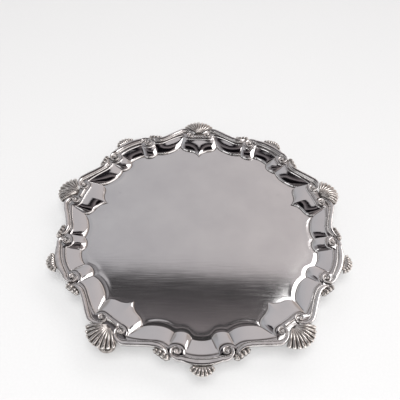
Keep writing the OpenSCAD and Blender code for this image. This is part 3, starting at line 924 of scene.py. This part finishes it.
walls = node(sky, "ShaderNodeValToRGB",
             {"stops": [(0.0, linear("#F2F2F2")), (up(5), linear("#EFEFEF")),
                        (up(13), linear("#A6A19E")), (up(30), linear("#9A9592")),
                        (up(45), linear("#A4A3A4")), (up(58.6), linear("#B5B4B6")),
                        (up(66), linear("#8E898A")), (up(90), linear("#5A5657"))]},
             {"Fac": share_up.outputs[0]})
opening = node(sky, "ShaderNodeValToRGB",
               {"stops": [(up(58.6), linear("#B5B4B6")), (up(59.4), linear("#0E0C10")),
                          (up(61.6), linear("#121014")), (up(62.6), linear("#3F3C3E")),
                          (up(64.4), linear("#575355")), (up(65.8), linear("#7C7779")),
                          (up(67), linear("#6E696B")), (up(68), linear("#08080A")),
                          (up(77), linear("#0C0A0D")), (up(79), linear("#777374")),
                          (up(82), linear("#6A6667")), (up(84), linear("#141214")),
                          (up(90), linear("#2A2728"))]},
               {"Fac": share_up.outputs[0]})
behind = node(sky, "ShaderNodeMapRange", {"From Min": -0.1, "From Max": 0.1},
              {"Value": split.outputs["Y"]})
open_width = node(sky, "ShaderNodeMapRange", {"From Min": 0.2, "From Max": 0.28, "To Min": 1.0,
                                              "To Max": 0.0}, {"Value": sideways.outputs[0]})
is_open = node(sky, "ShaderNodeMath", {"operation": "MULTIPLY"},
               {0: behind.outputs[0], 1: open_width.outputs[0]})
above = node(sky, "ShaderNodeMix", {"data_type": "RGBA"},
             {0: is_open.outputs[0], 6: walls.outputs[0], 7: opening.outputs[0]})
from_front = node(sky, "ShaderNodeMapRange", {"From Min": -0.5, "From Max": 0.1, "To Min": 0.0,
                                              "To Max": 1.0}, {"Value": split.outputs["Y"]})
# The front of the tent is dimmer than the rest, and dimmest in its middle.
front_light = node(sky, "ShaderNodeMapRange", {"From Min": 0.2, "From Max": 0.4, "To Min": 0.25,
                                               "To Max": 0.8}, {"Value": sideways.outputs[0]})
wall_light = node(sky, "ShaderNodeMix", {"data_type": "FLOAT", 3: 1.0},
                  {0: from_front.outputs[0], 2: front_light.outputs[0]})
across = node(sky, "ShaderNodeMapRange", {"From Min": -0.35, "From Max": 0.35},
              {"Value": split.outputs["X"]})
side_tint = node(sky, "ShaderNodeMix", {"data_type": "RGBA", 6: (0.92, 0.94, 0.97, 1),
                                        7: (1.24, 1.15, 1.12, 1)}, {0: across.outputs[0]})
tinted = node(sky, "ShaderNodeMix", {"data_type": "RGBA", "blend_type": "MULTIPLY", 0: 1.0},
              {6: above.outputs[2], 7: side_tint.outputs[2]})
shine = node(sky, "ShaderNodeBackground", links={"Color": tinted.outputs[2],
                                                 "Strength": wall_light.outputs[0]})
node(sky, "ShaderNodeOutputWorld", links={"Surface": shine.outputs[0]})
print("the tent opens at about 59 degrees, square to its walls")

# %% Soft lamps
middle = Vector((0, 0, 0))


def soft_lamp(name, azimuth, elevation, distance, wide, high, brightness):
    """A softbox aimed at the tray. Azimuth 0 is the front and 90 the right."""
    a, e = math.radians(azimuth), math.radians(elevation)
    light = bpy.data.lights.new(name, "AREA")
    light.shape = "RECTANGLE"
    light.size, light.size_y = wide, high
    light.energy = brightness * math.pi * wide * high
    lamp = bpy.data.objects.new(name, light)
    lamp.location = Vector((math.sin(a) * math.cos(e), -math.cos(a) * math.cos(e),
                            math.sin(e))) * distance
    lamp.rotation_mode = "QUATERNION"
    lamp.rotation_quaternion = (middle - lamp.location).to_track_quat("-Z", "Y")
    bpy.context.scene.collection.objects.link(lamp)
    return lamp


lit_table = bpy.data.collections.new("lit_table")
lit_table.objects.link(floor)
for name, azimuth, elevation, wide, brightness in (("table_lamp_front", 0, 53, 1.0, 12),
                                                   ("table_lamp_top", 0, 76, 1.4, 10.4),
                                                   ("table_lamp_back", 180, 50, 1.6, 1.0)):
    lamp = soft_lamp(name, azimuth, elevation, 2.6, wide, wide, brightness)
    lamp.light_linking.receiver_collection = lit_table
for name, azimuth, elevation, wide, high, brightness in (
        ("front_window", 12, 39, 2.4, 0.4, 2.5), ("right_panel", 60, 20, 2.4, 1.6, 0.95),
        ("left_panel", -50, 25, 0.9, 0.9, 1.7), ("right_window", 124, 53, 1.5, 1.3, 2.5),
        ("left_window", -80, 76, 0.45, 0.3, 1.2), ("front_glint", -28, 16, 0.25, 0.25, 4.0),
        ("top_glint", 30, 70, 0.2, 0.2, 4.0)):
    soft_lamp(name, azimuth, elevation, 3.0, wide, high, brightness)

# %% [markdown]
# ## Camera
# The tray is seen from above the front at about fifty degrees, close enough for the near
# shells to look larger than the far ones. Aiming by eye with a tracking constraint leaves the
# tray slightly off, so the distance and the angles were fitted until the border's outline
# fell where it should, and the camera keeps no shift.

# %% Place the camera
AWAY, ELEVATION = 0.4726 * drawn_scale, 53.55
YAW, PITCH, ROLL, FOCAL = -0.173, -3.394, -2.979, 42.75
e = math.radians(ELEVATION)
stand = Vector((0, -math.cos(e), math.sin(e))) * AWAY
forward = -stand.normalized()
right = Vector((1, 0, 0))
upward = right.cross(forward)
aim = Matrix((right, upward, -forward))
tilt = (Matrix.Rotation(math.radians(ROLL), 3, "Z") @ Matrix.Rotation(math.radians(PITCH), 3, "X")
        @ Matrix.Rotation(math.radians(YAW), 3, "Y"))
round_tray = Matrix.Rotation(-math.radians(TRAY_TURN), 3, "Z")
lens = bpy.data.cameras.new("camera")
lens.lens, lens.sensor_width = FOCAL, 36.0
lens.clip_start, lens.clip_end = 0.01, 50
camera = bpy.data.objects.new("camera", lens)
camera.matrix_world = (round_tray @ (tilt @ aim).transposed()).to_4x4()
camera.location = round_tray @ stand
bpy.context.scene.collection.objects.link(camera)
bpy.context.scene.camera = camera
bpy.context.scene.view_settings.view_transform = "Standard"
print("camera at", [round(v, 3) for v in camera.location])
